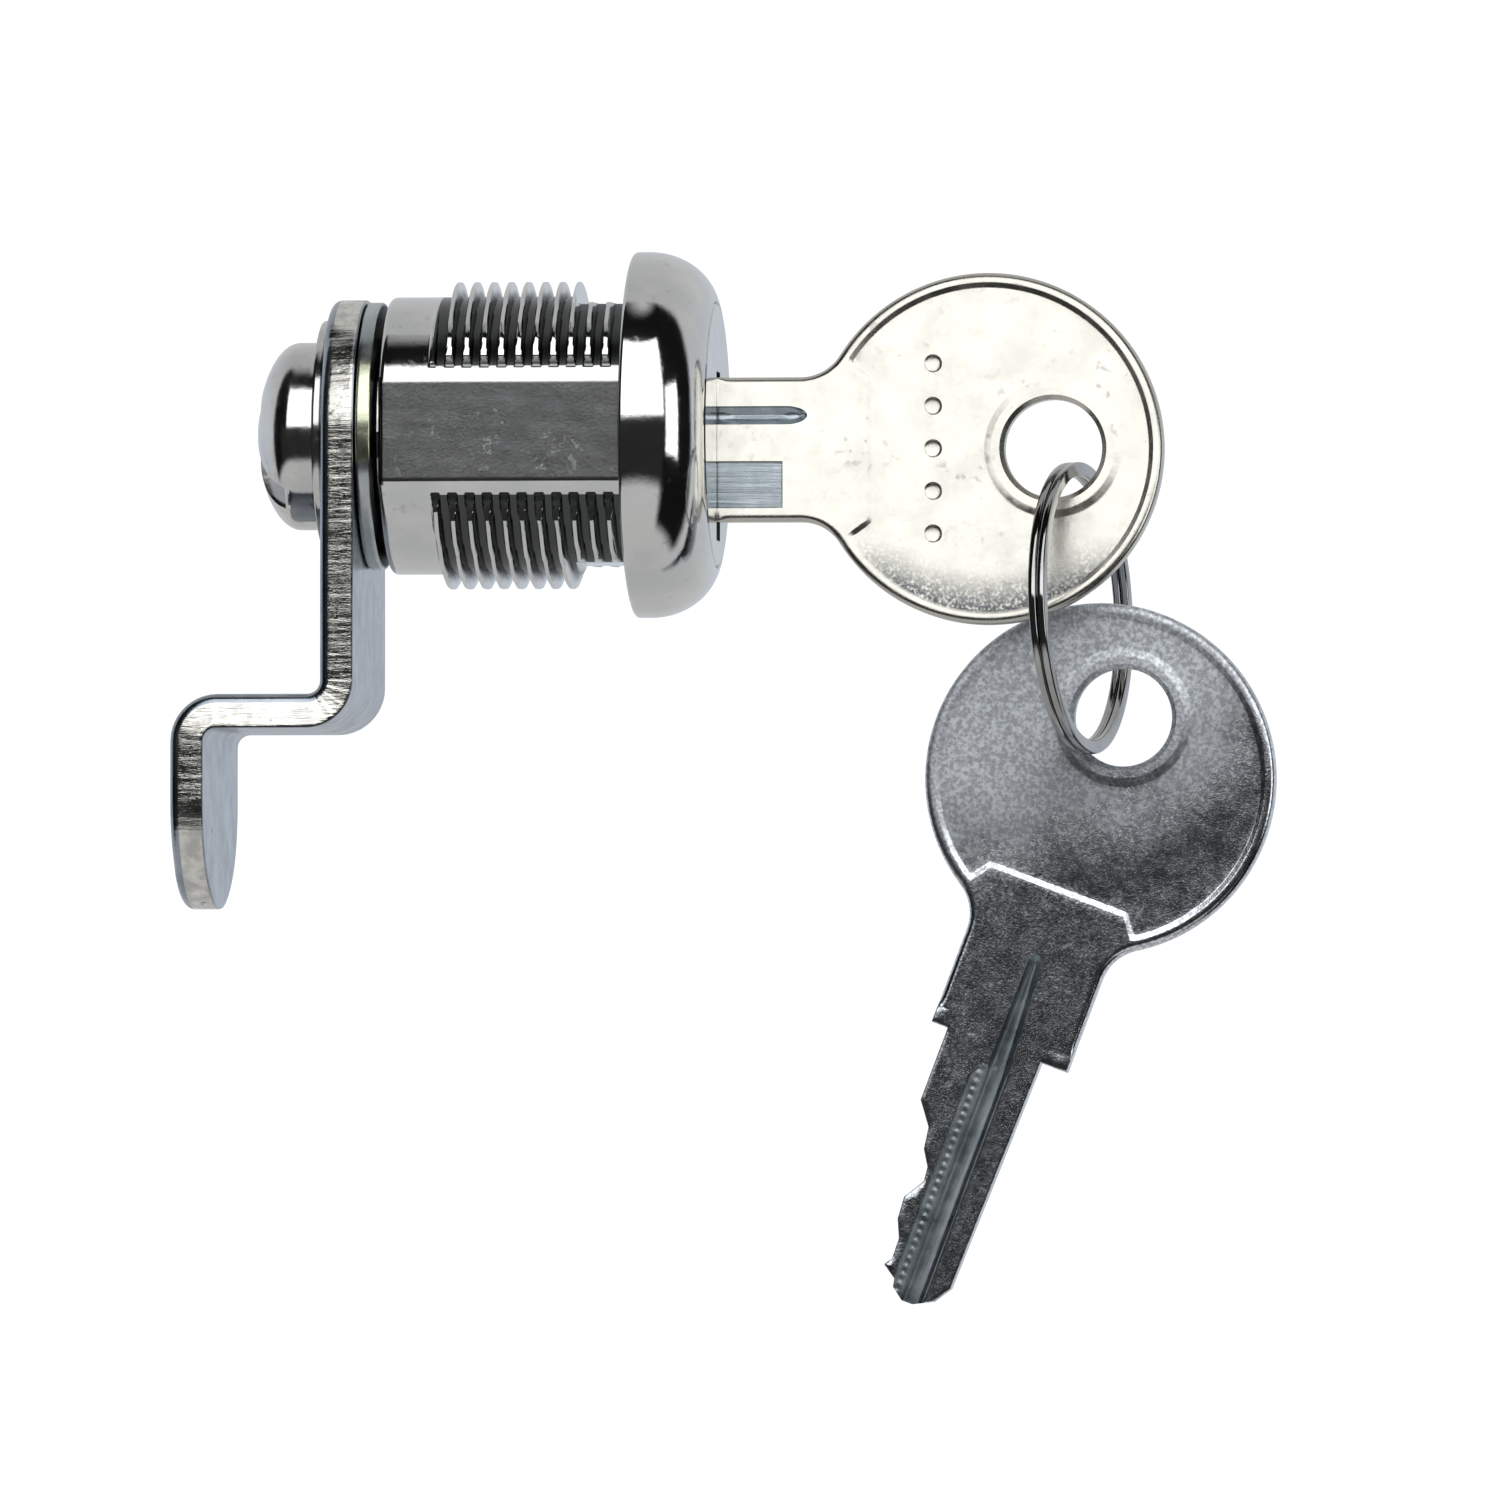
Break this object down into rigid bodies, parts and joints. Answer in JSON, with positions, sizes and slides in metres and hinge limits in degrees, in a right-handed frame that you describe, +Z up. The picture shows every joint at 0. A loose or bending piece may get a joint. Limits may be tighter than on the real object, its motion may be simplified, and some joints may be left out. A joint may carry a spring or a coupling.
{
  "type": "cam lock",
  "caption": "Disc-tumbler cam lock: threaded body with a domed head, cranked cam on the rear, a key in the plug and a spare key on a split ring.",
  "frame": {"origin": "on the lock's axis, at the back face of its head, where it rests on the panel", "axes": "+X along the lock's axis towards the key, +Y away from the side with the key's grooved face, +Z up"},
  "size_m": [0.0667, 0.0224, 0.0644],
  "materials": {
    "housing_nickel": "bright nickel plate on a die casting",
    "plug_nickel": "bright nickel plate",
    "cam_nickel": "satin nickel plate on pressed steel, with sheared edges",
    "washer_nickel": "bright nickel plate",
    "screw_nickel": "bright nickel plate",
    "yellow_zinc": "yellow chromate on zinc plate",
    "tumbler_brass": "stamped brass",
    "spring_steel": "drawn spring wire",
    "key_nickel": "warm nickel plate on stamped brass",
    "worn_key_nickel": "dull nickel plate with fine scratches",
    "ring_steel": "polished steel wire"
  },
  "bodies": {
    "housing": {"housing": "housing_nickel"},
    "plug": {"plug": "plug_nickel", "stop_washer": "yellow_zinc", "cam": "cam_nickel", "lock_washer": "washer_nickel", "cam_screw": "screw_nickel", "retainer_spring": "spring_steel", "wafer_spring_1": "spring_steel", "wafer_spring_2": "spring_steel", "wafer_spring_3": "spring_steel", "wafer_spring_4": "spring_steel", "wafer_spring_5": "spring_steel"},
    "key_1": {"key_1": "key_nickel"},
    "split_ring": {"split_ring": "ring_steel"},
    "key_2": {"key_2": "worn_key_nickel"},
    "plug_retainer": {"plug_retainer": "tumbler_brass"},
    "wafer_1": {"wafer_1": "tumbler_brass"},
    "wafer_2": {"wafer_2": "tumbler_brass"},
    "wafer_3": {"wafer_3": "tumbler_brass"},
    "wafer_4": {"wafer_4": "tumbler_brass"},
    "wafer_5": {"wafer_5": "tumbler_brass"}
  },
  "joints": [
    {"name": "plug_turn", "type": "hinge", "parent": "housing", "child": "plug", "pos_m": [0, 0, 0], "axis": [-1, 0, 0], "range_deg": [0, 90]},
    {"name": "key_slide", "type": "slide", "parent": "plug", "child": "key_1", "axis": [1, 0, 0], "range_m": [0, 0.02]},
    {"name": "ring_swing", "type": "hinge", "parent": "key_1", "child": "split_ring", "pos_m": [0.02565, 0, -0.00095], "axis": [0, 1, 0], "range_deg": [-60, 30]},
    {"name": "key_2_swing", "type": "hinge", "parent": "split_ring", "child": "key_2", "pos_m": [0.02971, 0.00285, -0.01731], "axis": [0, 1, 0], "range_deg": [-60, 45]},
    {"name": "wafer_1_slide", "type": "slide", "parent": "plug", "child": "wafer_1", "axis": [0, 0, 1], "range_m": [-0.0006, 0], "stiffness_N_per_m": 60, "springref_m": 0.002, "deforming": ["wafer_spring_1"]},
    {"name": "wafer_2_slide", "type": "slide", "parent": "plug", "child": "wafer_2", "axis": [0, 0, 1], "range_m": [-0.0006, 0], "stiffness_N_per_m": 60, "springref_m": 0.002, "deforming": ["wafer_spring_2"]},
    {"name": "wafer_3_slide", "type": "slide", "parent": "plug", "child": "wafer_3", "axis": [0, 0, 1], "range_m": [-0.0006, 0], "stiffness_N_per_m": 60, "springref_m": 0.002, "deforming": ["wafer_spring_3"]},
    {"name": "wafer_4_slide", "type": "slide", "parent": "plug", "child": "wafer_4", "axis": [0, 0, 1], "range_m": [-0.0006, 0], "stiffness_N_per_m": 60, "springref_m": 0.002, "deforming": ["wafer_spring_4"]},
    {"name": "wafer_5_slide", "type": "slide", "parent": "plug", "child": "wafer_5", "axis": [0, 0, 1], "range_m": [-0.0006, 0], "stiffness_N_per_m": 60, "springref_m": 0.002, "deforming": ["wafer_spring_5"]},
    {"name": "retainer_slide", "type": "slide", "parent": "plug", "child": "plug_retainer", "axis": [0, 0, 1], "range_m": [-0.0008, 0], "stiffness_N_per_m": 60, "springref_m": 0.002, "deforming": ["retainer_spring"]}
  ]
}
